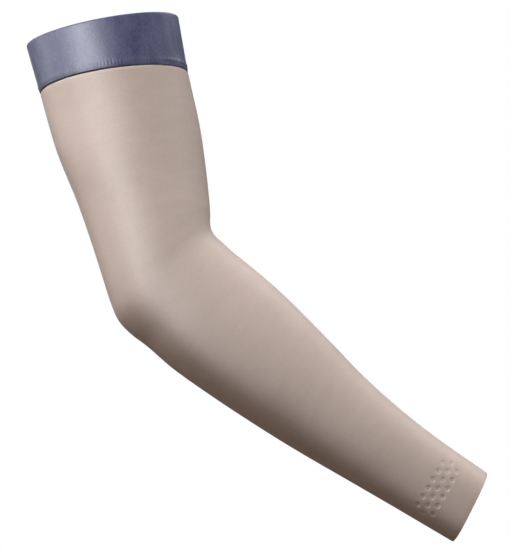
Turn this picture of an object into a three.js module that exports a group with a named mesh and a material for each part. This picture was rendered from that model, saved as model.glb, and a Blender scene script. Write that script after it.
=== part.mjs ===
// Arm warmer: a close-fitting knitted sleeve that keeps the shape of a bent arm, with a folded
// elastic cuff sewn round its upper end. Both pieces are open tubes with thin walls.
//
// Millimetres, +Z up. The origin is the centre of the cuff's upper rim, where the upper arm goes in.
// The arm hangs from there, bends at the elbow and points its wrist down and to +X, a little forward.
// Its outer side faces -Y, which is called the front.
import * as THREE from 'three';

// Cloth and seam sizes
const SLEEVE_WALL = 1.4; // one layer of brushed knit
const CUFF_WALL = 2.4; // smooth elastic knit, folded double at the rim
const CUFF_LENGTH = 40; // from the rim to the seam, along the arm
const SEAM_LAP = 7; // length of sleeve that is tucked inside the cuff
const SEAM_GAP = 0.4; // clearance between the cuff and the tucked sleeve
const CUT_ROUNDING = 0.4; // soft corner of the clean-cut wrist edge
const SEAM_LEAN = 0.07; // how much the seam's section leans up at the front
const LEAN_REACH = 25; // how far along the arm that lean reaches

// How finely the round walls are faceted
const SIDES = 40; // facets round the arm
const EDGE_STEPS = 4; // facets round a folded edge
const STEP = 12; // spacing of the rings along the straight stretches
const ELBOW_STEP = 6; // spacing of the rings round the bend
const ELBOW_REACH = 45; // how far the closer rings reach each side of the elbow
const ELBOW_ROW = 'elbow point';
const AXIS_DIVISIONS = 2000; // steps used to measure lengths along the arm
const AXIS_NUDGE = 0.5; // distance to each side for reading the axis's direction

// Finishes
const CUFF_FINISH = { color: 0x696e8a, roughness: 0.45, metalness: 0 };
const SLEEVE_FINISH = { color: 0xc4b2a7, roughness: 0.7, metalness: 0 };

// One row for each section of the arm, from the cuff down. elbow and crease are the two ends of the
// section's width as [x, z], on the elbow's side and on the side of the inner crease.
const SECTIONS = [
  { at: 'cuff rim', elbow: [-57, -11.5], crease: [57, 11.5] },
  { at: 'cuff seam', elbow: [-46.5, -47.5], crease: [64.5, -30.5] },
  { at: 'biceps', elbow: [-33.5, -91], crease: [74, -74] },
  { at: 'lower upper arm', elbow: [-17, -130.5], crease: [80, -118.5] },
  { at: 'above the elbow', elbow: [-4, -166.5], crease: [81.5, -136] },
  { at: 'top of the bend', elbow: [3, -187.5], crease: [81.5, -144] },
  { at: 'inner crease', elbow: [8.5, -204], crease: [82.5, -149.5] },
  { at: 'elbow point', elbow: [14.5, -217.5], crease: [85.5, -154.5] },
  { at: 'end of the bend', elbow: [23.5, -227], crease: [90.5, -159] },
  { at: 'below the elbow', elbow: [35.5, -236], crease: [97.5, -165.5] },
  { at: 'forearm top', elbow: [53.5, -251.5], crease: [113, -178] },
  { at: 'forearm belly', elbow: [78, -269], crease: [135.5, -197.5] },
  { at: 'mid forearm', elbow: [116, -294], crease: [169, -231] },
  { at: 'forearm taper', elbow: [148.5, -314], crease: [193.5, -256.5] },
  { at: 'low forearm', elbow: [181.5, -333], crease: [220, -280.5] },
  { at: 'above the wrist', elbow: [213.5, -351.5], crease: [246.5, -301.5] },
  { at: 'wrist edge', elbow: [259.5, -378.5], crease: [285, -328.5] },
];

// The other way through the arm, at even distances from the rim to the wrist edge. depth is the arm's
// thickness there, and forward is how far its middle lies in front of the rim's. fuller is the share by
// which the oval is fuller on the elbow's side, and flatter makes its front and back less curved.
const DEPTHS = [
  { depth: 99, forward: 0, fuller: 0, flatter: 0 },
  { depth: 96, forward: 4.5, fuller: 0, flatter: 0 },
  { depth: 90, forward: 15, fuller: 0.1, flatter: 0 },
  { depth: 81, forward: 28.5, fuller: 0.05, flatter: 0 },
  { depth: 81, forward: 34, fuller: 0.22, flatter: 0.05 },
  { depth: 75, forward: 37, fuller: 0.27, flatter: 0.15 },
  { depth: 62, forward: 39, fuller: 0.22, flatter: 0.2 },
  { depth: 50, forward: 41, fuller: 0.12, flatter: 0.28 },
  { depth: 44, forward: 42.5, fuller: 0.08, flatter: 0.38 },
];

// How the sleeve steps out from under the cuff. past is the distance beyond the seam, and outer and
// inner are the heights of the sleeve's two faces, measured from the arm's form.
const LAP_OUTER = -(CUFF_WALL + SEAM_GAP);
const LAP_INNER = LAP_OUTER - SLEEVE_WALL;
const SEAM_STEP = [
  { past: -SEAM_LAP, outer: LAP_OUTER, inner: LAP_INNER },
  { past: -0.6, outer: LAP_OUTER, inner: LAP_INNER },
  { past: 0.75, outer: -1.7, inner: -3.3 },
  { past: 1.5, outer: -0.8, inner: -2.7 },
  { past: 3, outer: -0.25, inner: -1.9 },
  { past: 5.5, outer: 0, inner: -SLEEVE_WALL },
];

// The low ridge that the seam allowance makes in the cuff. above is the distance from the seam, up
// the arm, and height is measured from the arm's form.
const SEAM_RIDGE = [
  { above: 9, height: 0 },
  { above: 6, height: 0.1 },
  { above: 4, height: 0.3 },
  { above: 2.5, height: 0.2 },
];

// The arm's form: smooth lines through the tables' rows. The axis is measured in the plane of the bend.
const elbowLine = new THREE.CatmullRomCurve3(
  SECTIONS.map(({ elbow: [x, z] }) => new THREE.Vector3(x, 0, z)),
);
const creaseLine = new THREE.CatmullRomCurve3(
  SECTIONS.map(({ crease: [x, z] }) => new THREE.Vector3(x, 0, z)),
);
const armAxis = new THREE.CatmullRomCurve3(
  elbowLine.points.map((point, index) => point.clone().lerp(creaseLine.points[index], 0.5)),
);
armAxis.arcLengthDivisions = AXIS_DIVISIONS;
const ARM_LENGTH = armAxis.getLength();
const depthLine = evenLine(({ depth, forward }) => new THREE.Vector3(depth, forward, 0));
const ovalLine = evenLine(({ fuller, flatter }) => new THREE.Vector3(fuller, flatter, 0));

// A smooth line through two columns of the table of depths
function evenLine(columns) {
  return new THREE.CatmullRomCurve3(DEPTHS.map(columns), false, 'catmullrom');
}

// The width of the form at a distance along the arm from the rim: its two ends and the middle
function widthAt(along) {
  const length = THREE.MathUtils.clamp(along / ARM_LENGTH, 0, 1);
  const share = armAxis.getUtoTmapping(length);
  const { x: depth, y: forward } = depthLine.getPoint(length);
  const elbow = elbowLine.getPoint(share).setY(-forward);
  const crease = creaseLine.getPoint(share).setY(-forward);
  return { elbow, crease, centre: elbow.clone().lerp(crease, 0.5), halfDepth: depth / 2, length };
}

// The oval section of the form at a distance along the arm from the rim
function sectionAt(along) {
  const { elbow, crease, centre, halfDepth, length } = widthAt(along);
  const across = crease.clone().sub(elbow);
  const halfWidth = across.length() / 2;
  across.normalize();
  const ahead = widthAt(along + AXIS_NUDGE).centre.sub(widthAt(along - AXIS_NUDGE).centre).normalize();
  const front = ahead.clone().cross(across).normalize();
  front.addScaledVector(ahead, -SEAM_LEAN * Math.exp(-(((along - CUFF_LENGTH) / LEAN_REACH) ** 2)));
  const { x: fuller, y: flatter } = ovalLine.getPoint(length);
  return { centre, across, front, halfWidth, halfDepth, fuller, flatter };
}

// A point on a section, at an angle round it from the crease and at a height above the form
function skinPoint(section, angle, height) {
  const { centre, across, front, halfWidth, halfDepth, fuller, flatter } = section;
  const cos = Math.cos(angle);
  const sin = Math.sin(angle);
  const lift = height / Math.hypot(halfDepth * cos, halfWidth * sin);
  const fullness = 1 - fuller * cos + flatter * cos ** 2;
  return centre
    .clone()
    .addScaledVector(across, cos * (halfWidth + lift * halfDepth))
    .addScaledVector(front, sin * (halfDepth * fullness + lift * halfWidth));
}

// A closed tube wall: a profile of points { along, height }, carried once round the arm. The profile
// runs down the outer face and back up the inner one.
function tubeWall(profile) {
  const positions = [];
  for (const { along, height } of profile) {
    const section = sectionAt(along);
    for (let side = 0; side < SIDES; side++) {
      positions.push(...skinPoint(section, (2 * Math.PI * side) / SIDES, height).toArray());
    }
  }
  const index = [];
  const corner = (ring, side) => (ring % profile.length) * SIDES + (side % SIDES);
  for (let ring = 0; ring < profile.length; ring++) {
    for (let side = 0; side < SIDES; side++) {
      const here = corner(ring, side);
      const beside = corner(ring, side + 1);
      const below = corner(ring + 1, side);
      const opposite = corner(ring + 1, side + 1);
      index.push(here, opposite, below, here, beside, opposite);
    }
  }
  const geometry = new THREE.BufferGeometry();
  geometry.setAttribute('position', new THREE.Float32BufferAttribute(positions, 3));
  geometry.setIndex(index);
  geometry.computeVertexNormals();
  return geometry;
}

// Half a round, for an edge that is folded over. direction is +1 for a lower edge, where the profile
// turns from the outer face to the inner one, and -1 for an upper edge, where it turns back.
function foldedEdge(along, wall, direction) {
  const radius = wall / 2;
  return Array.from({ length: EDGE_STEPS + 1 }, (_, step) => {
    const turn = (Math.PI * step) / EDGE_STEPS;
    return {
      along: along + direction * radius * (Math.sin(turn) - 1),
      height: radius * (direction * Math.cos(turn) - 1),
    };
  });
}

// Distances of the sleeve's rings from the rim, closer together round the elbow
function sleeveRings(first, last) {
  const elbowShare = SECTIONS.findIndex((row) => row.at === ELBOW_ROW) / (SECTIONS.length - 1);
  const lengths = armAxis.getLengths();
  const elbowAlong = lengths[Math.round(elbowShare * AXIS_DIVISIONS)];
  const rings = [];
  for (let along = first; along < last; ) {
    rings.push(along);
    along += Math.abs(along - elbowAlong) < ELBOW_REACH ? ELBOW_STEP : STEP;
  }
  return rings;
}

// The cuff: folded at the rim, and rolled in at the seam just below a low ridge
function cuffBand() {
  const ridge = SEAM_RIDGE.map(({ above, height }) => ({ along: CUFF_LENGTH - above, height }));
  const profile = [
    ...foldedEdge(0, CUFF_WALL, -1),
    { along: CUFF_LENGTH / 3, height: 0 },
    ...ridge,
    ...foldedEdge(CUFF_LENGTH, CUFF_WALL, 1),
    { along: (CUFF_LENGTH * 2) / 3, height: -CUFF_WALL },
    { along: CUFF_LENGTH / 3, height: -CUFF_WALL },
  ];
  const band = new THREE.Mesh(tubeWall(profile), new THREE.MeshStandardMaterial(CUFF_FINISH));
  band.name = 'cuff_band';
  return band;
}

// The sleeve: tucked into the cuff at the top, and cut clean at the wrist
function sleeve() {
  const step = SEAM_STEP.map(({ past, outer, inner }) => ({ along: CUFF_LENGTH + past, outer, inner }));
  const rings = sleeveRings(step.at(-1).along + STEP / 2, ARM_LENGTH - STEP / 2);
  const wall = [
    ...step,
    ...rings.map((along) => ({ along, outer: 0, inner: -SLEEVE_WALL })),
    { along: ARM_LENGTH - CUT_ROUNDING, outer: 0, inner: -SLEEVE_WALL },
    { along: ARM_LENGTH, outer: -CUT_ROUNDING, inner: CUT_ROUNDING - SLEEVE_WALL },
  ];
  const profile = [
    ...wall.map(({ along, outer }) => ({ along, height: outer })),
    ...wall.toReversed().map(({ along, inner }) => ({ along, height: inner })),
  ];
  const body = new THREE.Mesh(tubeWall(profile), new THREE.MeshStandardMaterial(SLEEVE_FINISH));
  body.name = 'sleeve';
  return body;
}

const armWarmer = new THREE.Group();
armWarmer.add(cuffBand(), sleeve());

export default armWarmer;
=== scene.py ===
# %% [markdown]
# # An arm warmer
#
# This lesson dresses an arm warmer: a beige knitted sleeve in the shape of a bent arm, with a satin
# blue-grey cuff sewn round its upper end. The frame holds the plain solids at their true size and
# place. Here they get their fine shape, their seams and their cloth.

# %% Load the frame
import math
from collections import namedtuple

import bpy
import numpy as np
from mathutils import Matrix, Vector


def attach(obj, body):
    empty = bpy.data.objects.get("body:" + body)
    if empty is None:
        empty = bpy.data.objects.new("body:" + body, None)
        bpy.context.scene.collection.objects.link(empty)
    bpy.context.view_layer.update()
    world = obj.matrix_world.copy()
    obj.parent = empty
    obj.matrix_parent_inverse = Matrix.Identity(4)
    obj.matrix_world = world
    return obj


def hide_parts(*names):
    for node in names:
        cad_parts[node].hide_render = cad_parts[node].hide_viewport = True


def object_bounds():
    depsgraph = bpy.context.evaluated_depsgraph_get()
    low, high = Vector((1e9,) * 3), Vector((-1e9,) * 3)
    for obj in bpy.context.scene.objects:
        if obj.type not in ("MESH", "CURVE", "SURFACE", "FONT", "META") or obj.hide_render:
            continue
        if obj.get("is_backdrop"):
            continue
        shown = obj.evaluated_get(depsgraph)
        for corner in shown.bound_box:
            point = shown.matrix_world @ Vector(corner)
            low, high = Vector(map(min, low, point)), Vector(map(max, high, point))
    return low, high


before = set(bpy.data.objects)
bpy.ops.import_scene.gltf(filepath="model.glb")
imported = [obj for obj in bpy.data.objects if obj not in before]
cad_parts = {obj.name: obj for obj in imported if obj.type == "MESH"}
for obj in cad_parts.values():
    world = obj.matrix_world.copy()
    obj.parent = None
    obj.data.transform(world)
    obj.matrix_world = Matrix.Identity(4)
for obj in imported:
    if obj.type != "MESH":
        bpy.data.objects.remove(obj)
CAD_BOX = [list(corner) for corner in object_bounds()]
MM = 0.001  # the tables below are in millimetres, and the scene is in metres
print("nodes in the frame:", sorted(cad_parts))

# %% [markdown]
# ## The camera
#
# The sleeve is seen from its outer side, by a level camera far enough away for the arm to look almost
# flat. A long lens does that. Its focal length follows from how much of the object one pixel covers,
# so that the picture and the frame agree in size without any fitting by eye.

# %% Camera
PHOTO_HEIGHT_PX = 553
MM_PER_PX = 0.74
VIEW_CENTRE = Vector((114.9, -28.0, -184.4)) * MM
VIEW_DISTANCE = 1600 * MM
SENSOR_MM = 36

camera = bpy.data.objects.new("camera", bpy.data.cameras.new("camera"))
camera.data.sensor_width = SENSOR_MM
camera.data.lens = SENSOR_MM * VIEW_DISTANCE / (MM_PER_PX * PHOTO_HEIGHT_PX * MM)
camera.location = VIEW_CENTRE + Vector((0, -VIEW_DISTANCE, 0))
camera.rotation_euler = (math.radians(90), 0, 0)
bpy.context.scene.collection.objects.link(camera)
bpy.context.scene.camera = camera
print(f"camera: lens {camera.data.lens:.1f} mm, {VIEW_DISTANCE:.2f} m away")

# %% [markdown]
# ## Helpers for node trees
#
# Materials, the world and Geometry Nodes are all trees of nodes. Three small helpers keep the trees
# below short: one fills a socket with a value or a link, one adds a node, and one adds a Math node.

# %% Node helpers
def fill(tree, socket, value):
    """Links an output to the socket, or sets a plain value on it."""
    if isinstance(value, bpy.types.NodeSocket):
        tree.links.new(value, socket)
    else:
        socket.default_value = value


def add(tree, kind, inputs=None, **settings):
    """One node, with its settings, and its inputs by name or by number."""
    node = tree.nodes.new(kind)
    for name, setting in settings.items():
        setattr(node, name, setting)
    for key, value in (inputs or {}).items():
        fill(tree, node.inputs[key], value)
    return node


def calc(tree, operation, *values):
    """The output of one Math node."""
    return add(tree, "ShaderNodeMath", dict(enumerate(values)), operation=operation).outputs[0]


def soft_step(tree, value, start, end):
    """0 up to start and 1 from end on, with a soft rise between them. start may be the larger."""
    inputs = {"Value": value, "From Min": start, "From Max": end}
    return add(tree, "ShaderNodeMapRange", inputs, interpolation_type="SMOOTHSTEP").outputs[0]


def linear(red, green, blue):
    """A colour written in the usual 0 to 255, as the linear values that shaders take."""
    scaled = [value / 255 for value in (red, green, blue)]
    return [s / 12.92 if s <= 0.04045 else ((s + 0.055) / 1.055) ** 2.4 for s in scaled] + [1]


print("node helpers ready")

# %% [markdown]
# ## Studio light
#
# The background is plain white, yet the underside of the arm is dark, so the white is only seen and
# lights nothing. The world does this with a Light Path node: camera rays meet white, and all other
# rays meet a dim sky that is brighter above than below. Soft boxes give the rest: a key and a top light
# from the upper left, a fill from the right, a weak one from behind, and a weak warm one from low on the
# left, as when the light comes back from a wooden floor.
#
# Matte knit shows the broad shading, and the satin cuff shows the boxes themselves as soft streaks. A
# studio keeps the two apart with screens and polarising sheets. Here `serves` does the same: a box for
# the shading isn't mirrored, and a strip or panel for the gloss only draws its streak on the satin.

# %% World and lights
SKY_ABOVE = (0.03, 0.03, 0.03, 1)
SKY_BELOW = (0.02, 0.017, 0.015, 1)
SKY_FADE = (-0.8, 0.9)  # how far down and up the two tones of the sky reach

world = bpy.data.worlds.new("studio")
world.use_nodes = True
bpy.context.scene.world = world
sky = world.node_tree
sky.nodes.clear()
direction = add(sky, "ShaderNodeTexCoord").outputs["Generated"]
upward = add(sky, "ShaderNodeSeparateXYZ", {0: direction}).outputs["Z"]
height = soft_step(sky, upward, *SKY_FADE)
tone = add(sky, "ShaderNodeMix", {0: height, 6: SKY_BELOW, 7: SKY_ABOVE}, data_type="RGBA").outputs[2]
seen = add(sky, "ShaderNodeBackground", {"Color": (1, 1, 1, 1)}).outputs[0]
lights_up = add(sky, "ShaderNodeBackground", {"Color": tone}).outputs[0]
camera_ray = add(sky, "ShaderNodeLightPath").outputs["Is Camera Ray"]
mixed = add(sky, "ShaderNodeMixShader", {0: camera_ray, 1: lights_up, 2: seen}).outputs[0]
add(sky, "ShaderNodeOutputWorld", {"Surface": mixed})
bpy.context.scene.view_settings.view_transform = "Standard"

WHITE = (1, 1, 1)
WARM = (1, 0.8, 0.68)
SoftBox = namedtuple("SoftBox", "name azimuth elevation distance width height watts colour serves")
SOFT_BOXES = [
    SoftBox("key", -70, 45, 1.4, 0.6, 0.6, 17.5, WHITE, "shading"),
    SoftBox("top", -50, 65, 1.4, 0.6, 0.6, 14, WHITE, "shading"),
    SoftBox("right_fill", 70, 5, 1.4, 1.2, 1.2, 16.5, WHITE, "shading"),
    SoftBox("low_fill", -80, -45, 1.4, 1, 1, 4.8, WARM, "shading"),
    SoftBox("back_fill", 180, 20, 1.6, 1.5, 1.5, 12, WHITE, "shading"),
    SoftBox("near_strip", -24, 7, 1.4, 0.3, 1.1, 6, WHITE, "gloss"),
    SoftBox("far_strip", -36, 7, 1.4, 0.3, 1.1, 11, WHITE, "gloss"),
    SoftBox("left_panel", -85, 5, 1.4, 1.2, 1.2, 8.3, WHITE, "gloss"),
    SoftBox("rim_panel", 130, 45, 1.4, 0.8, 0.8, 5, WHITE, "gloss"),
]


def soft_box(box):
    """A rectangular light aimed at the sleeve. Azimuth 0 is beside the camera, and + is to the right."""
    light = bpy.data.lights.new(box.name, "AREA")
    light.shape = "RECTANGLE"
    light.size = box.width
    light.size_y = box.height
    light.energy = box.watts
    light.color = box.colour
    azimuth, elevation = math.radians(box.azimuth), math.radians(box.elevation)
    level = math.cos(elevation)
    towards = Vector((math.sin(azimuth) * level, -math.cos(azimuth) * level, math.sin(elevation)))
    lamp = bpy.data.objects.new(box.name, light)
    lamp.location = VIEW_CENTRE + towards * box.distance
    lamp.rotation_euler = towards.to_track_quat("Z", "Y").to_euler()
    lamp.visible_diffuse = box.serves == "shading"
    lamp.visible_glossy = box.serves == "gloss"
    bpy.context.scene.collection.objects.link(lamp)
    return lamp


print("lights:", [soft_box(box).name for box in SOFT_BOXES])

# %% [markdown]
# ## The floor
#
# A pale floor lies well below the sleeve, which is held up by its cuff. It is a round sheet that fades
# out before it reaches the picture's background. It neither throws light back up nor stops any, because
# the low soft box already gives the sleeve the light that a floor would.

# %% Floor
FLOOR_LEVEL = -0.55
FLOOR_RADIUS = 1.15
FLOOR_FADE_FROM = 0.45
FLOOR_SIDES = 96
FLOOR_COLOUR = linear(238, 237, 235)

floor_paint = bpy.data.materials.new("floor_paint")
floor_paint.use_nodes = True
paint = floor_paint.node_tree
on_floor = add(paint, "ShaderNodeTexCoord").outputs["Object"]
from_middle = add(paint, "ShaderNodeVectorMath", {0: on_floor}, operation="LENGTH").outputs["Value"]
fill(paint, paint.nodes["Principled BSDF"].inputs["Base Color"], FLOOR_COLOUR)
fade = soft_step(paint, from_middle, FLOOR_RADIUS, FLOOR_FADE_FROM)
fill(paint, paint.nodes["Principled BSDF"].inputs["Alpha"], fade)

bpy.ops.mesh.primitive_circle_add(vertices=FLOOR_SIDES, radius=FLOOR_RADIUS, fill_type="NGON")
floor = bpy.context.object
floor.name = "floor"
floor.location = (VIEW_CENTRE.x, VIEW_CENTRE.y, FLOOR_LEVEL)
floor.data.materials.append(floor_paint)
floor.visible_diffuse = False
floor.visible_glossy = False
floor.visible_shadow = False
floor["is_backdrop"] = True
print(f"floor: {FLOOR_LEVEL:.2f} m, radius {FLOOR_RADIUS} m")

# %% [markdown]
# ## The form of the arm
#
# Both cloths lie on one form, an oval that changes along a bent line. It could be sculpted, but then
# the cloths would only roughly fit the frame. The frame's solids were lofted through the short table
# below, so the same table and the same smooth lines give the same form again, as fine as we like.
#
# `elbow` and `crease` are the two ends of a section's width as (x, z). Through the arm, `depth` is the
# thickness, `forward` is how far its middle lies in front of the rim's, `fuller` is the share by which it
# is fuller on the elbow's side, and `flatter` makes an oval with flatter faces and rounder ends. Those
# four change slowly, so they are given at even distances instead.

# %% Sections of the arm
Section = namedtuple("Section", "at elbow crease")
SECTIONS = [
    Section("cuff rim", (-57, -11.5), (57, 11.5)),
    Section("cuff seam", (-46.5, -47.5), (64.5, -30.5)),
    Section("biceps", (-33.5, -91), (74, -74)),
    Section("lower upper arm", (-17, -130.5), (80, -118.5)),
    Section("above the elbow", (-4, -166.5), (81.5, -136)),
    Section("top of the bend", (3, -187.5), (81.5, -144)),
    Section("inner crease", (8.5, -204), (82.5, -149.5)),
    Section("elbow point", (14.5, -217.5), (85.5, -154.5)),
    Section("end of the bend", (23.5, -227), (90.5, -159)),
    Section("below the elbow", (35.5, -236), (97.5, -165.5)),
    Section("forearm top", (53.5, -251.5), (113, -178)),
    Section("forearm belly", (78, -269), (135.5, -197.5)),
    Section("mid forearm", (116, -294), (169, -231)),
    Section("forearm taper", (148.5, -314), (193.5, -256.5)),
    Section("low forearm", (181.5, -333), (220, -280.5)),
    Section("above the wrist", (213.5, -351.5), (246.5, -301.5)),
    Section("wrist edge", (259.5, -378.5), (285, -328.5)),
]
Through = namedtuple("Through", "depth forward fuller flatter")
THROUGH = [
    Through(99, 0, 0, 0),
    Through(96, 4.5, 0, 0),
    Through(90, 15, 0.1, 0),
    Through(81, 28.5, 0.05, 0),
    Through(81, 34, 0.22, 0.05),
    Through(75, 37, 0.27, 0.15),
    Through(62, 39, 0.22, 0.2),
    Through(50, 41, 0.12, 0.28),
    Through(44, 42.5, 0.08, 0.38),
]
print(len(SECTIONS), "sections,", len(THROUGH), "even distances")

# %% Smooth lines
def smooth_line(points, even=False):
    """A Catmull-Rom line through the points, as a function of the row number.

    The centripetal kind follows unevenly spaced points without loops, and even=True is the plain one."""
    knots = np.asarray(points, float)
    knots = np.vstack([2 * knots[0] - knots[1], knots, 2 * knots[-1] - knots[-2]])
    gaps = np.linalg.norm(np.diff(knots, axis=0), axis=1)[:, None] ** (0 if even else 0.5)

    def at(row):
        first = np.clip(np.floor(row).astype(int), 0, len(points) - 2)
        t = (row - first)[:, None]
        p0, p1, p2, p3 = (knots[first + step] for step in range(4))
        d0, d1, d2 = (gaps[first + step] for step in range(3))
        leave = d1 * ((p1 - p0) / d0 - (p2 - p0) / (d0 + d1) + (p2 - p1) / d1)
        arrive = d1 * ((p2 - p1) / d1 - (p3 - p1) / (d1 + d2) + (p3 - p2) / d2)
        bend = 3 * (p2 - p1) - 2 * leave - arrive
        twist = 2 * (p1 - p2) + leave + arrive
        return p1 + leave * t + bend * t**2 + twist * t**3

    return at


elbow_line = smooth_line([(s.elbow[0], 0, s.elbow[1]) for s in SECTIONS])
crease_line = smooth_line([(s.crease[0], 0, s.crease[1]) for s in SECTIONS])
through_line = smooth_line(THROUGH, even=True)
every_row = np.arange(len(SECTIONS), dtype=float)
axis_line = smooth_line((elbow_line(every_row) + crease_line(every_row)) / 2)

AXIS_STEPS = 2000  # steps used to measure lengths along the arm
fine_rows = np.linspace(0, len(SECTIONS) - 1, AXIS_STEPS + 1)
fine_steps = np.linalg.norm(np.diff(axis_line(fine_rows), axis=0), axis=1)
fine_lengths = np.concatenate([[0], np.cumsum(fine_steps)])
ARM_LENGTH = fine_lengths[-1]
print(f"arm: {ARM_LENGTH:.1f} mm along its axis")

# %% [markdown]
# One function then places any point of the cloths: how far `along` the arm it lies from the rim, which
# `turn` round the section it has, and how `high` it stands above the form. Turn 0 is the side of the
# crease and a quarter turn is the front. Later cells only choose these three numbers. A sewn seam is
# seldom quite square to the arm, so the sections near it lean up a little at the front.

# %% Points on the form
FRONT = math.pi / 2
BACK = -math.pi / 2
AXIS_NUDGE = 0.5  # distance to each side for reading the axis's direction
CUFF_LENGTH = 40  # from the rim to the seam, along the arm
SEAM_LEAN = 0.07  # how much the seam's section leans up at the front
LEAN_REACH = 25  # how far along the arm that lean reaches


def width_at(along):
    """The two ends of the form's width at n distances along, with the depth and the fullness there."""
    along = np.clip(along, 0, ARM_LENGTH)
    row = np.interp(along, fine_lengths, fine_rows)
    through = through_line(along / ARM_LENGTH * (len(THROUGH) - 1))
    toward_viewer = through[:, 1:2] * [0, -1, 0]
    return elbow_line(row) + toward_viewer, crease_line(row) + toward_viewer, through


def skin(along, turn, high):
    """Points in millimetres, for n distances along, m turns round and heights that fit (n, m)."""
    elbow, crease, through = width_at(along)
    depth, fuller, flatter = through[:, :1], through[:, 2:3], through[:, 3:]
    across = crease - elbow
    half_width = np.linalg.norm(across, axis=1)[:, None] / 2
    across /= 2 * half_width
    after, before = width_at(along + AXIS_NUDGE), width_at(along - AXIS_NUDGE)
    ahead = after[0] + after[1] - before[0] - before[1]
    ahead /= np.linalg.norm(ahead, axis=1)[:, None]
    front = np.cross(ahead, across)
    front /= np.linalg.norm(front, axis=1)[:, None]
    front -= ahead * SEAM_LEAN * np.exp(-(((along - CUFF_LENGTH) / LEAN_REACH) ** 2))[:, None]
    half_depth = depth / 2
    cos, sin = np.cos(turn)[None, :], np.sin(turn)[None, :]
    lift = high / np.hypot(half_depth * cos, half_width * sin)
    wide = cos * (half_width + lift * half_depth)
    deep = sin * (half_depth * (1 - fuller * cos + flatter * cos**2) + lift * half_width)
    centre = (elbow + crease) / 2
    return centre[:, None] + across[:, None] * wide[..., None] + front[:, None] * deep[..., None]


def girth_to(along, turns):
    """The distance round each section from the back, in millimetres, with the closing step at its end."""
    closed = np.append(turns, turns[0] + 2 * math.pi)
    rings = skin(along, closed, np.zeros((len(along), 1)))
    steps = np.linalg.norm(np.diff(rings, axis=1), axis=2)
    return np.concatenate([np.zeros((len(along), 1)), np.cumsum(steps, axis=1)], axis=1)


BELOW_ELBOW = 240  # just below the elbow, along the arm
GIRTH_STEPS = 90
once_round = np.linspace(BACK, BACK + 2 * math.pi, GIRTH_STEPS, endpoint=False)
girths = girth_to(np.array([0, BELOW_ELBOW, ARM_LENGTH]), once_round)[:, -1]
print("girth at the rim, below the elbow and at the wrist:", girths.round(), "mm")

# %% [markdown]
# ## Cloth tubes
#
# A tube of cloth is a closed profile, down its outer face and back up its inner one, carried once round
# the arm. The cell below turns a profile into a mesh of quads. It also stores where each point lies on
# the flat cloth, in metres: as a UV map for the knit, which then keeps its true pitch everywhere, and as
# attributes for the node trees. The cloth is closed along the back, where its UV map is cut.

# %% Tube maker
CLOTH_MAP = "flat_cloth"


def cloth_tube(name, along, high, turns):
    """A mesh object for the profile (along, high), where high fits (profile points, turns)."""
    rings, sides = len(along), len(turns)
    points = skin(along, turns, high) * MM
    ring, side = np.meshgrid(np.arange(rings), np.arange(sides), indexing="ij")
    below, beside = (ring + 1) % rings, (side + 1) % sides
    corners = [(ring, side), (ring, beside), (below, beside), (below, side)]
    quads = np.stack([r * sides + s for r, s in corners], -1)
    mesh = bpy.data.meshes.new(name)
    mesh.from_pydata(points.reshape(-1, 3), [], quads.reshape(-1, 4))
    mesh.shade_smooth()

    girth = girth_to(along, turns)
    closed = np.append(turns, turns[0] + 2 * math.pi)
    middle = np.array([np.interp(FRONT, closed, row) for row in girth])
    across = (girth - middle[:, None]) * MM
    down = np.repeat(along[:, None], sides, axis=1) * MM
    past_cut = [(ring, side), (ring, side + 1), (below, side + 1), (below, side)]
    flat_u = np.stack([across[r, s] for r, s in past_cut], -1)
    flat_v = np.stack([down[r, s] for r, s in corners], -1)
    flat = mesh.uv_layers.new(name=CLOTH_MAP)
    flat.uv.foreach_set("vector", np.stack([flat_u, flat_v], -1).astype(np.float32).ravel())
    stored = {
        "across": across[:, :-1],
        "down": down,
        "high": np.broadcast_to(high, (rings, sides)) * MM,
        "round": girth[:, :-1] / girth[:, -1:],
    }
    for label, values in stored.items():
        layer = mesh.attributes.new(label, "FLOAT", "POINT")
        layer.data.foreach_set("value", values.astype(np.float32).ravel())

    tube = bpy.data.objects.new(name, mesh)
    bpy.context.scene.collection.objects.link(tube)
    return tube


def triangles(piece):
    """How many triangles a piece has."""
    return sum(len(face.vertices) - 2 for face in piece.data.polygons)


print("tube maker ready")

# %% [markdown]
# ## Geometry Nodes, set up once
#
# Three things below repeat by a rule: pressed dots, ribs and stitches. Each gets a Geometry Nodes tree with
# named inputs for its sizes. `shape_tree` starts such a tree, and `apply_tree` sets the inputs, runs it
# once and keeps the result as a plain mesh, so that nothing stays live on the finished piece.

# %% Tree helpers
SIZE = "NodeSocketFloat"
COUNT = "NodeSocketInt"


def shape_tree(name, sizes):
    """An empty tree with named inputs. Returns it with its input sockets."""
    tree = bpy.data.node_groups.new(name, "GeometryNodeTree")
    tree.interface.new_socket("Geometry", in_out="INPUT", socket_type="NodeSocketGeometry")
    tree.interface.new_socket("Geometry", in_out="OUTPUT", socket_type="NodeSocketGeometry")
    for label, kind in {**sizes, "Material": "NodeSocketMaterial"}.items():
        tree.interface.new_socket(label, in_out="INPUT", socket_type=kind)
    return tree, add(tree, "NodeGroupInput").outputs


def end_tree(tree, geometry, material):
    """Makes the instances real and sets their material, as the last step of a tree."""
    real = add(tree, "GeometryNodeRealizeInstances", {0: geometry}).outputs[0]
    painted = add(tree, "GeometryNodeSetMaterial", {"Geometry": real, "Material": material}).outputs[0]
    add(tree, "NodeGroupOutput", {0: painted})


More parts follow.
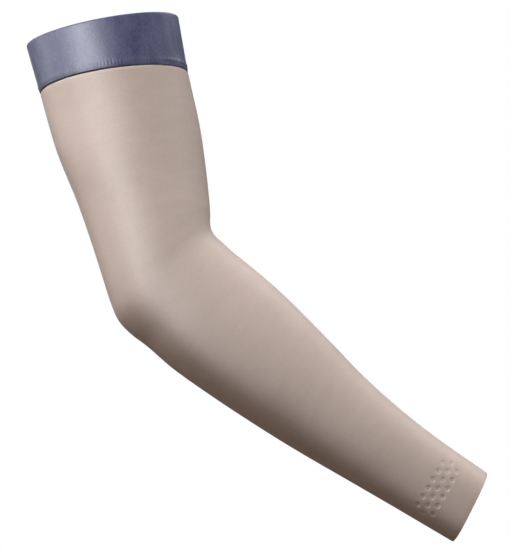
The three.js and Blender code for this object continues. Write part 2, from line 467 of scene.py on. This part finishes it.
def apply_tree(piece, tree, sizes):
    """Runs the tree on the piece with these inputs, and keeps the result as its mesh."""
    modifier = piece.modifiers.new(tree.name, "NODES")
    modifier.node_group = tree
    for socket in tree.interface.items_tree:
        if socket.in_out == "INPUT" and socket.name in sizes:
            modifier[socket.identifier] = sizes[socket.name]
    graph = bpy.context.evaluated_depsgraph_get()
    shaped = piece.evaluated_get(graph)
    made = bpy.data.meshes.new_from_object(shaped, preserve_all_data_layers=True, depsgraph=graph)
    piece.modifiers.clear()
    piece.data = made
    made.name = piece.name


def stored_value(tree, name, kind="FLOAT"):
    """An attribute that the points carry."""
    return add(tree, "GeometryNodeInputNamedAttribute", {"Name": name}, data_type=kind).outputs[0]


def raised(tree, geometry, amount):
    """Moves the points along their normals."""
    normal = add(tree, "GeometryNodeInputNormal").outputs[0]
    push = add(tree, "ShaderNodeVectorMath", {0: normal, "Scale": amount}, operation="SCALE").outputs[0]
    return add(tree, "GeometryNodeSetPosition", {"Geometry": geometry, "Offset": push}).outputs[0]


print("tree helpers ready")

# %% [markdown]
# ## Cloth finishes
#
# Both cloths are knitted, so two effects serve both and are built as shader node groups. `knit_loops`
# draws the columns of small V-shaped loops as a height. It reads the flat cloth's map, so its inputs are
# the real pitches of the columns and the rows. `yarn_shade` gives the soft unevenness of brushed or spun
# yarn, as a shade between 0 and 1 and as a height of its own.

# %% Shared shader groups
NOISE_DETAIL = 3.0


def shader_group(name, inputs, outputs):
    """An empty shader node group. Returns it with its input sockets and its output node."""
    tree = bpy.data.node_groups.new(name, "ShaderNodeTree")
    for label, kind in inputs.items():
        tree.interface.new_socket(label, in_out="INPUT", socket_type=kind)
    for label in outputs:
        tree.interface.new_socket(label, in_out="OUTPUT", socket_type=SIZE)
    return tree, add(tree, "NodeGroupInput").outputs, add(tree, "NodeGroupOutput")


def noise(tree, where, grain):
    """Noise whose features are about grain metres across."""
    inputs = {"Vector": where, "Scale": calc(tree, "DIVIDE", 1.0, grain), "Detail": NOISE_DETAIL}
    return add(tree, "ShaderNodeTexNoise", inputs).outputs[0]


LOOP_SLANT = 1.6  # rows that a loop's leg climbs from the gap to the middle of its column
LEG_SHARE = 0.35  # how much of a loop's height its legs make
FLECK_SHARE = 0.55  # how much of the yarn's shade its flecks make, beside its clouds
SHADE_ENDS = (0.3, 0.7)  # the values of the noise that give the darkest and the lightest yarn

knit_loops, given, result = shader_group(
    "knit_loops", {"Place": "NodeSocketVector", "Column": SIZE, "Row": SIZE}, ["Height"]
)
place = add(knit_loops, "ShaderNodeSeparateXYZ", {0: given["Place"]}).outputs
from_gap = calc(knit_loops, "PINGPONG", calc(knit_loops, "DIVIDE", place["X"], given["Column"]), 0.5)
rows = calc(knit_loops, "DIVIDE", place["Y"], given["Row"])
climb = calc(knit_loops, "MULTIPLY_ADD", from_gap, LOOP_SLANT, rows)
leg = calc(knit_loops, "SINE", calc(knit_loops, "MULTIPLY", climb, 2 * math.pi))
column = calc(knit_loops, "SINE", calc(knit_loops, "MULTIPLY", from_gap, math.pi))
leg_share = calc(knit_loops, "MULTIPLY_ADD", leg, LEG_SHARE, 1 - LEG_SHARE)
fill(knit_loops, result.inputs["Height"], calc(knit_loops, "MULTIPLY", column, leg_share))

yarn_shade, given, result = shader_group(
    "yarn_shade", {"Place": "NodeSocketVector", "Fleck": SIZE, "Cloud": SIZE}, ["Shade", "Height"]
)
fleck = noise(yarn_shade, given["Place"], given["Fleck"])
cloud = noise(yarn_shade, given["Place"], given["Cloud"])
clouds = calc(yarn_shade, "MULTIPLY", cloud, 1 - FLECK_SHARE)
blend = calc(yarn_shade, "MULTIPLY_ADD", fleck, FLECK_SHARE, clouds)
fill(yarn_shade, result.inputs["Shade"], soft_step(yarn_shade, blend, *SHADE_ENDS))
fill(yarn_shade, result.inputs["Height"], fleck)
print("shader groups:", knit_loops.name, yarn_shade.name)

# %% [markdown]
# A cloth's material then takes its own values: two close colours that the yarn's shade mixes, the pitch
# of its knit, how deep the knit looks, and how much light the fibres' ends catch at grazing angles, which
# is what Sheen is for. `streak` draws the yarn's flecks out: along the arm above 1, as on the ribbed cuff,
# and across it below 1, as on the sleeve, where the yarn runs round the arm. What is the same all over the
# cloth is set on the shader itself. Sewing thread is twisted yarn without loops, so it takes only the
# yarn's shade.

# %% Cloth materials
Yarn = namedtuple("Yarn", "dark light fleck cloud roughness gloss sheen")
Knit = namedtuple("Knit", "column row depth streak")
SLEEVE_YARN = Yarn(linear(188, 170, 160), linear(196, 178, 168), 2.6, 26, 0.42, 0.6, 0.15)
CUFF_YARN = Yarn(linear(54, 59, 91), linear(94, 99, 131), 0.8, 9, 0.4, 1.0, 0.15)
SLEEVE_THREAD = Yarn(linear(178, 156, 142), linear(204, 184, 170), 0.25, 3, 0.5, 0.5, 0.2)
CUFF_THREAD = Yarn(linear(70, 75, 103), linear(92, 97, 126), 0.25, 3, 0.45, 0.5, 0.2)
SLEEVE_KNIT = Knit(0.7, 0.55, 0.05, 0.3)
CUFF_KNIT = Knit(0.475, 0.5, 0.02, 3)
FIBRE_IOR = 1.56
SHEEN_ROUGHNESS = 0.45
YARN_RELIEF = 0.6  # how high the yarn's own flecks stand beside the knit's loops
THREAD_RELIEF = 0.03


def cloth_material(name, yarn, knit=None):
    """The material of a cloth or a thread. The yarn's and the knit's lengths are in millimetres."""
    material = bpy.data.materials.new(name)
    material.use_nodes = True
    tree = material.node_tree
    shader = tree.nodes["Principled BSDF"]
    where = add(tree, "ShaderNodeTexCoord").outputs["Object"]
    if knit:
        flat = add(tree, "ShaderNodeUVMap", uv_map=CLOTH_MAP).outputs[0]
        drawn_out = {0: flat, 1: (1, 1 / knit.streak, 1)}
        where = add(tree, "ShaderNodeVectorMath", drawn_out, operation="MULTIPLY").outputs[0]
    shade = add(tree, "ShaderNodeGroup", node_tree=yarn_shade)
    for key, value in {"Place": where, "Fleck": yarn.fleck * MM, "Cloud": yarn.cloud * MM}.items():
        fill(tree, shade.inputs[key], value)
    tint = {0: shade.outputs["Shade"], 6: yarn.dark, 7: yarn.light}
    relief, depth = shade.outputs["Height"], THREAD_RELIEF
    if knit:
        loops = add(tree, "ShaderNodeGroup", node_tree=knit_loops)
        for key, value in {"Place": flat, "Column": knit.column * MM, "Row": knit.row * MM}.items():
            fill(tree, loops.inputs[key], value)
        relief = calc(tree, "MULTIPLY_ADD", relief, YARN_RELIEF, loops.outputs["Height"])
        depth = knit.depth
    values = {
        "Base Color": add(tree, "ShaderNodeMix", tint, data_type="RGBA").outputs[2],
        "Normal": add(tree, "ShaderNodeBump", {"Distance": depth * MM, "Height": relief}).outputs[0],
        "Roughness": yarn.roughness,
        "IOR": FIBRE_IOR,
        "Specular IOR Level": yarn.gloss,
        "Sheen Weight": yarn.sheen,
        "Sheen Roughness": SHEEN_ROUGHNESS,
    }
    for key, value in values.items():
        fill(tree, shader.inputs[key], value)
    return material


sleeve_knit = cloth_material("sleeve_knit", SLEEVE_YARN, SLEEVE_KNIT)
cuff_knit = cloth_material("cuff_knit", CUFF_YARN, CUFF_KNIT)
sleeve_thread = cloth_material("sleeve_thread", SLEEVE_THREAD)
cuff_thread = cloth_material("cuff_thread", CUFF_THREAD)
print("materials:", [m.name for m in (sleeve_knit, cuff_knit, sleeve_thread, cuff_thread)])

# %% [markdown]
# ## The sleeve
#
# The sleeve is one layer of knit. Its top is tucked under the cuff, and it rises again just past the
# cuff's edge, which leaves a narrow groove along the seam. At the wrist it is cut clean, and along the back
# its two edges meet in a flat seam, a low ridge. The turns lie closer on the front, where the wrist carries
# a fine relief, and at the back seam.

# %% Turns and seam of the sleeve
SEAM_HEIGHT = 0.3
SEAM_HALF = 2.6
SLEEVE_SIDES = 256
TURN_STEPS = 1440  # even steps from which the turns are chosen
Crowding = namedtuple("Crowding", "more spread")  # added share of turns, and how wide it reaches
FRONT_CROWDING = Crowding(1.6, 1.1)
SEAM_CROWDING = Crowding(3, 0.1)


def crowded_turns(sides):
    """Turns once round from the back, closer together at the front and most of all at the back seam."""
    even = np.linspace(BACK, BACK + 2 * math.pi, TURN_STEPS)
    from_back = np.minimum(even - BACK, BACK + 2 * math.pi - even)
    density = 1
    for away, crowding in ((even - FRONT, FRONT_CROWDING), (from_back, SEAM_CROWDING)):
        density = density + crowding.more * np.exp(-((away / crowding.spread) ** 2))
    share = np.concatenate([[0], np.cumsum((density[1:] + density[:-1]) / 2)])
    return np.interp(np.arange(sides) / sides, share / share[-1], even)


def flat_seam(along, turns):
    """The height of the flat seam, a ridge with a flat top, by the distance round from the back."""
    girth = girth_to(along, turns)
    from_back = np.minimum(girth[:, :-1], girth[:, -1:] - girth[:, :-1])
    return SEAM_HEIGHT * np.exp(-((from_back / SEAM_HALF) ** 4))


sleeve_turns = crowded_turns(SLEEVE_SIDES)
print(f"turns of the sleeve: {len(sleeve_turns)}, the closest {np.diff(sleeve_turns).min():.3f}")

# %% Sleeve
SLEEVE_WALL = 1.4
CUFF_WALL = 2.4
SEAM_LAP = 7
SEAM_GAP = 0.4
CUT_ROUNDING = 0.4
RING_STEP = 2.5
RELIEF_STEP = 0.45
RELIEF_ZONE = (16, 46)  # the stretch with close rings, as distances from the wrist edge
LINING_STEP = 8
CORNER_POINTS = 5
JOIN_STEP = 1  # distance between a plain stretch and the shaped one beside it
STEP_POINTS = 6  # points between two rows of a table
OUTER_FACE = -0.1  # points that stand higher than this lie on a cloth's outer face

SeamStep = namedtuple("SeamStep", "past outer inner")
LAP_OUTER = -(CUFF_WALL + SEAM_GAP)
LAP_INNER = LAP_OUTER - SLEEVE_WALL
SEAM_STEPS = [
    SeamStep(-SEAM_LAP, LAP_OUTER, LAP_INNER),
    SeamStep(-0.6, LAP_OUTER, LAP_INNER),
    SeamStep(0.35, -2.5, -4),
    SeamStep(0.5, -1.4, -3.6),
    SeamStep(0.95, -0.5, -3),
    SeamStep(2.1, -0.12, -1.9),
    SeamStep(4, 0, -SLEEVE_WALL),
]


def through_rows(points):
    """A smooth line through a table's points, with a few points between every two rows."""
    rows = np.linspace(0, len(points) - 1, STEP_POINTS * (len(points) - 1) + 1)
    return smooth_line(points)(rows)


def level(along, height):
    """Profile points at one height."""
    return np.stack([along, np.full(len(along), float(height))], axis=1)


lip = through_rows([(CUFF_LENGTH + s.past, s.outer) for s in SEAM_STEPS])
lip_inside = through_rows([(CUFF_LENGTH + s.past, s.inner) for s in SEAM_STEPS])
body_start = lip[-1, 0] + JOIN_STEP
relief_start, relief_end = ARM_LENGTH - RELIEF_ZONE[1], ARM_LENGTH - RELIEF_ZONE[0]
body = np.concatenate([
    np.arange(body_start, relief_start, RING_STEP),
    np.arange(relief_start, relief_end, RELIEF_STEP),
    np.arange(relief_end, ARM_LENGTH - JOIN_STEP, RING_STEP),
])
corner = np.linspace(0, math.pi / 2, CORNER_POINTS)
cut_along = ARM_LENGTH - CUT_ROUNDING * (1 - np.sin(corner))
cut = np.stack([cut_along, CUT_ROUNDING * (np.cos(corner) - 1)], axis=1)
cut_inside = cut[::-1] * [1, -1] - [0, SLEEVE_WALL]
lining = np.arange(body_start + LINING_STEP, ARM_LENGTH - JOIN_STEP, LINING_STEP)[::-1]
profile = np.concatenate([
    lip, level(body, 0), cut, cut_inside, level(lining, -SLEEVE_WALL), lip_inside[::-1]
])
outside = len(lip) + len(body) + len(cut)
high = np.repeat(profile[:, 1:], len(sleeve_turns), axis=1)
high[:outside] += flat_seam(profile[:outside, 0], sleeve_turns)
sleeve = cloth_tube("sleeve_cloth", profile[:, 0], high, sleeve_turns)
print("sleeve:", triangles(sleeve), "triangles")

# %% [markdown]
# ## Pressed dots
#
# Near the wrist the cloth carries a low relief that is pressed into it with heat: here a plain block of
# round dots. A texture could fake it, but the relief catches the light along its edges, so it has to be
# real. A tree sinks the sleeve's own points. It finds each point's place in the nearest dot from the two
# distances of the flat cloth, with every other row shifted by half a pitch.

# %% Pressed dots
DOT_COLUMN = 7.2
DOT_ROW = 6.2
DOT_ROWS = 3
DOT_REACH = 22  # half of the block's width
DOT_RADIUS = 2.4
DOT_FLOOR = 0.55  # share of the radius that is flat
DOT_DEPTH = 0.35
DOTS_FROM_EDGE = 20

dot_sizes = ("Start", "Row Pitch", "Column Pitch", "Reach", "Radius", "Floor", "Depth")
pressed_dots, given = shape_tree("pressed_dots", {"Rows": COUNT, **dict.fromkeys(dot_sizes, SIZE)})
past_start = calc(pressed_dots, "SUBTRACT", stored_value(pressed_dots, "down"), given["Start"])
in_rows = calc(pressed_dots, "DIVIDE", past_start, given["Row Pitch"])
row = calc(pressed_dots, "FLOOR", in_rows)
shift = calc(pressed_dots, "MULTIPLY", calc(pressed_dots, "PINGPONG", row, 1.0), 0.5)
in_columns = calc(pressed_dots, "DIVIDE", stored_value(pressed_dots, "across"), given["Column Pitch"])
in_columns = calc(pressed_dots, "ADD", in_columns, shift)
from_dot = []
for share, pitch in ((in_rows, given["Row Pitch"]), (in_columns, given["Column Pitch"])):
    from_middle = calc(pressed_dots, "SUBTRACT", calc(pressed_dots, "FRACT", share), 0.5)
    from_dot.append(calc(pressed_dots, "MULTIPLY", from_middle, pitch))
apart = add(pressed_dots, "ShaderNodeCombineXYZ", dict(enumerate(from_dot))).outputs[0]
distance = add(pressed_dots, "ShaderNodeVectorMath", {0: apart}, operation="LENGTH").outputs["Value"]
flat_floor = calc(pressed_dots, "MULTIPLY", given["Radius"], given["Floor"])
share_sunk = soft_step(pressed_dots, distance, given["Radius"], flat_floor)
sunk = calc(pressed_dots, "MULTIPLY", share_sunk, given["Depth"])
dot_across = calc(pressed_dots, "SUBTRACT", stored_value(pressed_dots, "across"), from_dot[1])
within = [
    calc(pressed_dots, "GREATER_THAN", row, -0.5),
    calc(pressed_dots, "LESS_THAN", row, calc(pressed_dots, "SUBTRACT", given["Rows"], 0.5)),
    calc(pressed_dots, "LESS_THAN", calc(pressed_dots, "ABSOLUTE", dot_across), given["Reach"]),
    calc(pressed_dots, "GREATER_THAN", stored_value(pressed_dots, "high"), OUTER_FACE * MM),
]
for condition in within:
    sunk = calc(pressed_dots, "MULTIPLY", sunk, condition)
sunk = calc(pressed_dots, "MULTIPLY", sunk, -1.0)
end_tree(pressed_dots, raised(pressed_dots, given["Geometry"], sunk), given["Material"])

before = np.array([point.co for point in sleeve.data.vertices])
apply_tree(sleeve, pressed_dots, {
    "Start": (ARM_LENGTH - DOTS_FROM_EDGE - DOT_ROWS * DOT_ROW) * MM,
    "Row Pitch": DOT_ROW * MM,
    "Column Pitch": DOT_COLUMN * MM,
    "Rows": DOT_ROWS,
    "Reach": DOT_REACH * MM,
    "Radius": DOT_RADIUS * MM,
    "Floor": DOT_FLOOR,
    "Depth": DOT_DEPTH * MM,
    "Material": sleeve_knit,
})
moved = np.linalg.norm(np.array([point.co for point in sleeve.data.vertices]) - before, axis=1)
print(f"pressed dots: {moved.max() / MM:.2f} mm deep, {np.count_nonzero(moved)} points moved")

# %% [markdown]
# ## The cuff
#
# The cuff is a satin elastic knit, folded double at its rim and pressed flat at the seam. Where the seam
# allowance lies underneath, a low ridge shows, and the stitches that hold it draw small dimples into the
# ridge at an even pitch. They divide the girth evenly, so the pattern closes at the back.

# %% Cuff
CUFF_RIBS = 320
POINTS_PER_RIB = 4
CUFF_STEP = 1.8
CUFF_LINING_STEP = 5.4
EVEN_STEPS = 4000  # steps used to space the turns evenly
FOLD_POINTS = 9
HEM_ROUNDNESS = 0.5  # the lower edge is pressed flat by its seam
DIMPLES = 128
DIMPLE_SHARE = 0.18  # how much of the ridge's height a dimple takes away or adds

SeamRidge = namedtuple("SeamRidge", "above height")
SEAM_RIDGE = [
    SeamRidge(9, 0),
    SeamRidge(6, 0.1),
    SeamRidge(4, 0.3),
    SeamRidge(2.5, 0.2),
    SeamRidge(1.2, 0),
]


def folded_edge(at, wall, direction, roundness=1.0):
    """A fold: direction 1 turns in at a lower edge, and -1 turns out at an upper one.

    It is half a round at roundness 1, and has tighter corners the smaller roundness is."""
    bend = np.linspace(0, math.pi, FOLD_POINTS)
    side, end = np.cos(bend), np.sin(bend) ** roundness
    side = np.sign(side) * np.abs(side) ** roundness
    along = at + direction * wall / 2 * (end - 1)
    return np.stack([along, wall / 2 * (direction * side - 1)], axis=1)


def even_turns(sides):
    """Turns once round from the back, evenly spaced along the middle of the cuff."""
    fine = np.linspace(BACK, BACK + 2 * math.pi, EVEN_STEPS + 1)
    girth = girth_to(np.array([CUFF_LENGTH / 2]), fine[:-1])[0]
    return np.interp(np.arange(sides) / sides, girth / girth[-1], fine)


ridge = through_rows([(CUFF_LENGTH - r.above, r.height) for r in SEAM_RIDGE])
plain = np.arange(CUFF_WALL, ridge[0, 0] - JOIN_STEP, CUFF_STEP)
lining = np.arange(CUFF_WALL, CUFF_LENGTH - CUFF_WALL, CUFF_LINING_STEP)[::-1]
lower_fold = folded_edge(CUFF_LENGTH, CUFF_WALL, 1, HEM_ROUNDNESS)
profile = np.concatenate([
    folded_edge(0, CUFF_WALL, -1), level(plain, 0), ridge[:-1], lower_fold, level(lining, -CUFF_WALL)
])
cuff_turns = even_turns(CUFF_RIBS * POINTS_PER_RIB)
dimple = 1 + DIMPLE_SHARE * np.cos(2 * math.pi * DIMPLES * np.arange(len(cuff_turns)) / len(cuff_turns))
high = np.where(profile[:, 1:] > 0, profile[:, 1:] * dimple, profile[:, 1:])
outer = profile[:, 1] > OUTER_FACE
high[outer] += flat_seam(profile[outer, 0], cuff_turns)
cuff = cloth_tube("cuff_cloth", profile[:, 0], high, cuff_turns)
print("cuff:", triangles(cuff), "triangles")

# %% [markdown]
# Fine ribs run along the arm all round the cuff, and over the fold at its rim. They are a wave in the
# cuff's own points, so a tree that counts the waves once round is all they need.

# %% Cuff ribs
RIB_HEIGHT = 0.02

cuff_ribs, given = shape_tree("cuff_ribs", {"Ribs": COUNT, "Height": SIZE})
whole_turn = calc(cuff_ribs, "MULTIPLY", stored_value(cuff_ribs, "round"), 2 * math.pi)
wave = calc(cuff_ribs, "COSINE", calc(cuff_ribs, "MULTIPLY", whole_turn, given["Ribs"]))
lifted = calc(cuff_ribs, "MULTIPLY", wave, given["Height"])
end_tree(cuff_ribs, raised(cuff_ribs, given["Geometry"], lifted), given["Material"])
apply_tree(cuff, cuff_ribs, {"Ribs": CUFF_RIBS, "Height": RIB_HEIGHT * MM, "Material": cuff_knit})
print(f"cuff ribs: {CUFF_RIBS}, about {girths[0] / CUFF_RIBS:.2f} mm apart")

# %% [markdown]
# ## Stitches of the back seam
#
# A flat seam is sewn by a machine that lays a thread to and fro across it. One stitch is a slanting thread
# across the seam with a short one along each edge. Modelling a few hundred by hand would be slow and would
# never follow the bent arm, so a tree sets one stitch at each point of a line along the back, turned by
# the line's direction and the cloth's normal.

# %% Stitch tree
SLANT_BOW = 2.5  # height of the slanting thread's bow, in thread radii
EDGE_BOW = 2.0
EDGE_REACH = 0.42  # how far an edge's thread reaches each way, as a share of the pitch
THREAD_STEPS = 4
THREAD_SIDES = 5


def thread_between(tree, start, middle, end, radius):
    """A short piece of thread that bows from start over middle to end."""
    bow = {"Resolution": THREAD_STEPS, "Start": start, "Middle": middle, "End": end}
    line = add(tree, "GeometryNodeCurveQuadraticBezier", bow).outputs[0]
    ring = {"Resolution": THREAD_SIDES, "Radius": radius}
    ring = add(tree, "GeometryNodeCurvePrimitiveCircle", ring).outputs["Curve"]
    tube = {"Curve": line, "Profile Curve": ring, "Fill Caps": True}
    return add(tree, "GeometryNodeCurveToMesh", tube).outputs[0]


def point_at(tree, x, y, z):
    """A point from three sizes."""
    return add(tree, "ShaderNodeCombineXYZ", {"X": x, "Y": y, "Z": z}).outputs[0]


seam_stitches, given = shape_tree("seam_stitches", {"Pitch": SIZE, "Half Width": SIZE, "Radius": SIZE})
line = add(seam_stitches, "GeometryNodeMeshToCurve", {0: given["Geometry"]}).outputs[0]
places = {"Curve": line, "Length": given["Pitch"]}
places = add(seam_stitches, "GeometryNodeResampleCurve", places, mode="LENGTH").outputs[0]

right, pitch, radius = given["Half Width"], given["Pitch"], given["Radius"]
left = calc(seam_stitches, "MULTIPLY", right, -1.0)
half_pitch = calc(seam_stitches, "MULTIPLY", pitch, 0.5)
back_half = calc(seam_stitches, "MULTIPLY", pitch, -0.5)
threads = [
    thread_between(
        seam_stitches,
        point_at(seam_stitches, left, back_half, 0.0),
        point_at(seam_stitches, 0.0, 0.0, calc(seam_stitches, "MULTIPLY", radius, SLANT_BOW)),
        point_at(seam_stitches, right, half_pitch, 0.0),
        radius,
    )
]
for edge in (left, right):
    threads.append(
        thread_between(
            seam_stitches,
            point_at(seam_stitches, edge, calc(seam_stitches, "MULTIPLY", pitch, -EDGE_REACH), 0.0),
            point_at(seam_stitches, edge, 0.0, calc(seam_stitches, "MULTIPLY", radius, EDGE_BOW)),
            point_at(seam_stitches, edge, calc(seam_stitches, "MULTIPLY", pitch, EDGE_REACH), 0.0),
            radius,
        )
    )
stitch = add(seam_stitches, "GeometryNodeJoinGeometry")
for thread in threads:
    seam_stitches.links.new(thread, stitch.inputs[0])
upright = {"Vector": stored_value(seam_stitches, "cloth_normal", "FLOAT_VECTOR")}
upright = add(seam_stitches, "FunctionNodeAlignRotationToVector", upright, axis="Z").outputs[0]
tangent = add(seam_stitches, "GeometryNodeInputTangent").outputs[0]
turned = {"Rotation": upright, "Vector": tangent}
turned = add(seam_stitches, "FunctionNodeAlignRotationToVector", turned, axis="Y", pivot_axis="Z")
set_out = {"Points": places, "Instance": stitch.outputs[0], "Rotation": turned.outputs[0]}
set_out = add(seam_stitches, "GeometryNodeInstanceOnPoints", set_out).outputs[0]
end_tree(seam_stitches, set_out, given["Material"])
print("stitch tree ready")

# %% Stitches
STITCH_PITCH = 1.7
STITCH_HALF = 2.3
THREAD_RADIUS = 0.14
SEAM_POINT_STEP = 1.5
SLEEVE_SEAM = (CUFF_LENGTH + 4, ARM_LENGTH - 1)  # start and end along the arm
CUFF_SEAM = (2.5, CUFF_LENGTH - 7.5)


def stitched_seam(name, start, end, material):
    """The stitches of the back seam from start to end along the arm."""
    along = np.arange(start, end, SEAM_POINT_STEP)
    at_back = np.array([BACK])
    line = skin(along, at_back, np.full((len(along), 1), SEAM_HEIGHT))[:, 0]
    above = skin(along, at_back, np.full((len(along), 1), SEAM_HEIGHT + 1))[:, 0]
    mesh = bpy.data.meshes.new(name)
    mesh.from_pydata(line * MM, [(i, i + 1) for i in range(len(along) - 1)], [])
    normal = mesh.attributes.new("cloth_normal", "FLOAT_VECTOR", "POINT")
    normal.data.foreach_set("vector", (above - line).astype(np.float32).ravel())
    seam = bpy.data.objects.new(name, mesh)
    bpy.context.scene.collection.objects.link(seam)
    apply_tree(seam, seam_stitches, {
        "Pitch": STITCH_PITCH * MM,
        "Half Width": STITCH_HALF * MM,
        "Radius": THREAD_RADIUS * MM,
        "Material": material,
    })
    return seam


sleeve_stitches = stitched_seam("sleeve_stitches", *SLEEVE_SEAM, sleeve_thread)
cuff_stitches = stitched_seam("cuff_stitches", *CUFF_SEAM, cuff_thread)
print("stitches:", triangles(sleeve_stitches), "and", triangles(cuff_stitches), "triangles")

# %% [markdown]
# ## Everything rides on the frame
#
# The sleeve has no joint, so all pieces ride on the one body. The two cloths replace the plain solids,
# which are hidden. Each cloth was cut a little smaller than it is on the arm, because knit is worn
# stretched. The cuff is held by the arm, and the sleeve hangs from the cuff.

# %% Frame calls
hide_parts("sleeve")
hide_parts("cuff_band")
in_slot = {
    sleeve: "sleeve_knit",
    sleeve_stitches: "sleeve_knit",
    cuff: "cuff_knit",
    cuff_stitches: "cuff_knit",
}
for piece, slot in in_slot.items():
    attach(piece, "root")
print("pieces:", [piece.name for piece in in_slot])

# %% [markdown]
# ## Sizes
#
# The frame's box and the dressed model's box are both printed. The dressed model has to stay inside
# the frame's box, apart from a little cloth standing proud.

# %% Sizes and finish
visual_box = [list(corner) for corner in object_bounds()]
for label, (low, high_corner) in (("frame", CAD_BOX), ("dressed", visual_box)):
    print(label, [f"{(b - a) / MM:.1f}" for a, b in zip(low, high_corner)], "mm")
